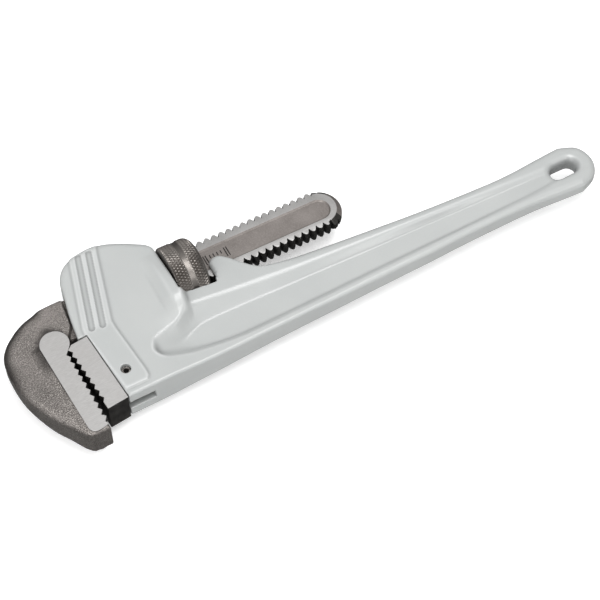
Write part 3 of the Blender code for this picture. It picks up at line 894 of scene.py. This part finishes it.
def make_shank(face_material, panel, thread):
    """Threaded flat bar, chamfered round its free end, with a sunk panel on each side."""
    start_x = 64.6
    end_x = 206.6
    end_radius = 16.9
    half_width = 18.0
    chamfer = 3.8
    root, crest = 12.9, 16.5

    def bar(inset):
        end = arc((end_x - end_radius, SHANK_Y), end_radius - inset, -84, 84, 28)
        return ([(start_x, SHANK_Y - half_width), (end_x - end_radius, SHANK_Y - half_width)] + end
                + [(end_x - end_radius, SHANK_Y + half_width), (start_x, SHANK_Y + half_width)])

    side_z = SHANK_HALF - chamfer
    rings = [(bar(chamfer), -SHANK_HALF), (bar(0), -side_z), (bar(0), side_z), (bar(chamfer), SHANK_HALF)]
    piece = lofted("threaded_shank", rings, [face_material, panel, thread])
    boolean(piece, "INTERSECT", screw("thread", end_x + 16, root, crest))
    for side in (1, -1):
        boolean(piece, "DIFFERENCE", panel_tool(side))
    for face in piece.data.polygons:
        z = abs(face.center.z - ORIGIN.z) / MM
        across = abs((face.center.y - ORIGIN.y) / MM - SHANK_Y)
        on_face = z > SHANK_HALF - 0.05
        # thread flanks take the near-black thread steel, partly painted shade
        if across > THREAD_FROM:
            face.material_index = 0 if on_face else 2
        else:
            face.material_index = 0 if on_face else 1
    bevelled(piece, 0.5, 2, 55)
    piece.data.shade_smooth()
    piece.data.set_sharp_from_angle(angle=math.radians(40))
    return piece


def panel_tool(side):
    """Solid that sinks one side's panel, with sloping walls."""
    depth = 1.1
    floor = stadium(66, 197.0, PANEL_Y, 7.5)
    rim = stadium(64.9, 198.1, PANEL_Y, 8.6)
    rings = [(floor, SHANK_HALF - depth), (rim, SHANK_HALF), (rim, SHANK_HALF + 3)]
    return lofted("panel_tool", [(outline, side * z) for outline, z in rings])


def make_ticks(metal):
    """Raised graduation bars on both panels of the shank: two long pairs with short bars between, coloured
    dark as painted shade.
    """
    width = 0.75
    height = 1.1
    middle_z = 4.9
    long_bar = (8.0, 0.0)
    short_bar = (3.0, 1.5)
    bars = [(99.6, long_bar), (101.3, long_bar), (115.6, long_bar), (117.4, long_bar)]
    bars += [(104.2 + 2.8 * i, short_bar) for i in range(4)]
    bm = bmesh.new()
    for x, (length, shift) in bars:
        for side in (1, -1):
            centre = to_frame(x, PANEL_Y + shift, side * middle_z)
            made = bmesh.ops.create_cube(bm, size=1.0)
            for vertex in made["verts"]:
                taper = 0.75 if vertex.co.z * side > 0 else 1.15
                vertex.co.x *= width * taper * MM
                vertex.co.y *= (length + 2 * (taper - 1)) * MM
                vertex.co.z *= height * MM
                vertex.co += centre
    mesh = bpy.data.meshes.new("graduation_bars")
    bm.to_mesh(mesh)
    bm.free()
    # painted shade: the bars take the dark steel they are given, standing in for the shadows beside them
    mesh.materials.append(metal)
    piece = bpy.data.objects.new("graduation_bars", mesh)
    bpy.context.scene.collection.objects.link(piece)
    return bevelled(piece, 0.1, 2, 30)


# ---------------------------------------------------------------- heel jaw, nut

def make_heel_jaw(ground, dark):
    """Tooth block with a tang that sits in the housing, drilled for its pin."""
    def tips(y):
        return -15.45 + 0.0944 * (-5 - y)

    outline = [(0.1, -0.5), (-11.9, -1.7)] + zigzag(-7.5, 5.85, 8, tips, 2.1)
    outline += [(tips(-57), -57.3), (4.9, -55.7)]
    piece = prism("heel_jaw_block", outline, -JAW_HALF, JAW_HALF, [ground, dark])
    bevelled(piece, 0.2, 1, 60)
    tang_half = 3.7
    tang_outline = [(-6, -17), (21, -16.5), (23.8, -19.5), (23.8, -46), (20.5, -49.5), (-6, -49.5)]
    boolean(piece, "UNION", prism("tang", tang_outline, -tang_half, tang_half))
    hole_outline = arc((PIN_X, PIN_Y), PIN_HOLE_RADIUS, 0, 360, 32)[:-1]
    boolean(piece, "DIFFERENCE", prism("hole", hole_outline, -20, 20))
    ground_top(piece, JAW_HALF)
    piece.data.shade_smooth()
    piece.data.set_sharp_from_angle(angle=math.radians(30))
    return piece


def nut_profile(x):
    """Radius of the nut's outer surface, before knurling, and how deep the knurling is there."""
    ring = step(x, 80.9, 81.6) * (1 - step(x, 85.2, 85.9))
    rounded = np.clip((x - 89.3) / 6.2, 0, 1)
    radius = 23.35 - 1.0 * (1 - step(x, 71.8, 72.8)) - 0.55 * ring
    radius = radius - 6.0 * (1 - np.sqrt(1 - rounded ** 2 * 0.985))
    knurl = 0.65 * (1 - ring) * step(x, 71.9, 72.6) * (1 - step(x, 93.6, 94.8))
    return radius, knurl


def diamond(u, v):
    """Height of the knurling, 0 to 1: truncated diamonds, one pitch apart and staggered by half a pitch."""
    away = min(abs((u - m) % 2 - 1) + abs((v - m) % 2 - 1) for m in (0, 1))
    flat_top = 0.67
    return min(1 - away, flat_top) / flat_top


def make_nut(metal):
    """Turned nut with two bands of knurling and a plain ring between, cut by the shank's thread."""
    start = 71.8
    end = 95.5
    fine = 3
    diamonds_around = 66
    diamond_length = 2.16
    columns = diamonds_around * 2 * fine
    directions = [(math.cos(2 * math.pi * i / columns), math.sin(2 * math.pi * i / columns))
                  for i in range(columns)]
    xs = list(np.arange(start, end - 0.1, diamond_length / fine)) + [end - 0.12, end]
    points = [(start, SHANK_Y + 10 * c, 10 * s) for c, s in directions]
    for number, row_x in enumerate(xs):
        radius, depth = nut_profile(row_x)
        for i, (c, s) in enumerate(directions):
            r = radius - depth * (1 - diamond(number / fine, i / fine))
            points.append((row_x, SHANK_Y + r * c, r * s))
    points += [(end, y, z) for _, y, z in points[:columns]]
    rows = len(xs) + 2
    faces = []
    for row in range(rows - 1):
        base = row * columns
        for i in range(columns):
            j = (i + 1) % columns
            a, b, c, d = base + i, base + j, base + columns + j, base + columns + i
            falling = ((row - 1) // fine + i // fine) % 2 == 0
            faces += [(a, b, d), (b, c, d)] if falling else [(a, b, c), (a, c, d)]
    count = len(points)
    faces.append(tuple(range(columns)))
    faces.append(tuple(range(count - columns, count)))
    piece = recalculated(mesh_object("knurled_nut", points, faces, [metal]))
    root, crest = 13.45, 17.05
    boolean(piece, "DIFFERENCE", screw("nut_thread", end + 14, root, crest))
    piece.data.shade_smooth()
    piece.data.set_sharp_from_angle(angle=math.radians(20))
    return piece


# ---------------------------------------------------------------- stage

def make_camera():
    """At the viewing angle of the picture: from the jaws' side and above, with a long lens."""
    azimuth = math.radians(-28.271)
    elevation = math.radians(58.24)
    distance = 1.21545
    data = bpy.data.cameras.new("camera")
    data.lens = 107.09
    data.sensor_width = 36.0
    camera = bpy.data.objects.new("camera", data)
    bpy.context.scene.collection.objects.link(camera)
    target = to_frame(140.06, -43.27, JAW_HALF)
    back = Vector((math.sin(azimuth) * math.cos(elevation), -math.cos(azimuth) * math.cos(elevation),
                   math.sin(elevation)))
    camera.location = target + back * distance
    camera.rotation_euler = back.to_track_quat("Z", "Y").to_euler()
    bpy.context.scene.camera = camera


def area_light(name, place, size, power):
    """Rectangular softbox aimed at the middle of the scene."""
    data = bpy.data.lights.new(name, "AREA")
    data.shape = "RECTANGLE"
    data.size, data.size_y = size
    data.energy = power
    light = bpy.data.objects.new(name, data)
    light.location = place
    light.rotation_euler = Vector(place).to_track_quat("Z", "Y").to_euler()
    bpy.context.scene.collection.objects.link(light)
    return light


def make_floor():
    """Plain pale floor under the wrench."""
    mesh = bpy.data.meshes.new("floor")
    reach = 4.0
    corners = [(-reach, -reach, 0), (reach, -reach, 0), (reach, reach, 0), (-reach, reach, 0)]
    mesh.from_pydata(corners, [], [(0, 1, 2, 3)])
    mesh.materials.append(floor_material())
    floor = bpy.data.objects.new("floor", mesh)
    floor.visible_glossy = False
    bpy.context.scene.collection.objects.link(floor)


def make_world():
    """White surroundings, bright above and a little to the front, dim low at the back."""
    world = bpy.data.worlds.new("studio")
    bpy.context.scene.world = world
    world.use_nodes = True
    tree = world.node_tree
    direction = tree.nodes.new("ShaderNodeTexCoord").outputs["Generated"]
    slope = tree.nodes.new("ShaderNodeVectorMath")
    slope.operation = "DOT_PRODUCT"
    slope.inputs[1].default_value = (-0.1, -0.16, 0.58)
    tree.links.new(direction, slope.inputs[0])
    shade = tree.nodes.new("ShaderNodeMapRange")
    shade.inputs["From Min"].default_value = -0.25
    shade.inputs["From Max"].default_value = 0.65
    shade.inputs["To Min"].default_value = 0.1
    shade.inputs["To Max"].default_value = 1.13
    tree.links.new(slope.outputs["Value"], shade.inputs["Value"])
    tree.nodes["Background"].inputs["Color"].default_value = (1, 1, 1, 1)
    tree.links.new(shade.outputs["Result"], tree.nodes["Background"].inputs["Strength"])


def make_stage():
    """Floor, surroundings and softboxes; two of the softboxes only show as reflections."""
    make_floor()
    make_world()
    area_light("top_softbox", (0.22, -0.16, 1.28), (0.95, 0.4), 8.6)
    front = area_light("front_softbox", (0.25, -0.95, 0.85), (1.0, 0.26), 3.6)
    front.visible_diffuse = False
    left = area_light("left_softbox", (-0.8, -0.72, 0.7), (0.7, 0.4), 5.5)
    left.visible_diffuse = False
    fill = area_light("left_fill", (-1.1, 0.1, 0.62), (0.8, 0.5), 4.6)
    fill.visible_glossy = False
    bpy.context.scene.view_settings.view_transform = "Standard"


# ---------------------------------------------------------------- assembly

def main():
    """Make every piece, tie each to its body and hide the CAD node it stands in for, then set up the picture.
    """
    forged = forged_material()
    ground = ground_material()
    dark = blackened_material()
    spring = spring_material()
    shank_finishes = (shank_material(), panel_material(), thread_material())
    pieces = [
        (make_handle(paint_material()), "handle", "handle_body", "painted_casting"),
        (make_heel_jaw(ground, dark), "handle", "heel_jaw", "ground_steel"),
        (make_hook_forging(forged), "hook", "hook_jaw", "forged_steel"),
        (make_tooth_block(ground, dark), "hook", "hook_jaw", "forged_steel"),
        (make_shank(*shank_finishes), "hook", "hook_jaw", "forged_steel"),
        (make_ticks(dark), "hook", "hook_jaw", "forged_steel"),
        (make_nut(nut_material()), "nut", "adjusting_nut", "machined_steel"),
    ]
    for piece, body, node, slot in pieces:
        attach(piece, body)
        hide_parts(node)
    for node, material in (("heel_jaw_pin", forged), ("flat_spring", spring), ("spring_rivet", spring),
                           ("coil_spring", spring)):
        mesh = frame["nodes"][node].data
        mesh.materials.clear()
        mesh.materials.append(material)
    make_stage()
    make_camera()


main()
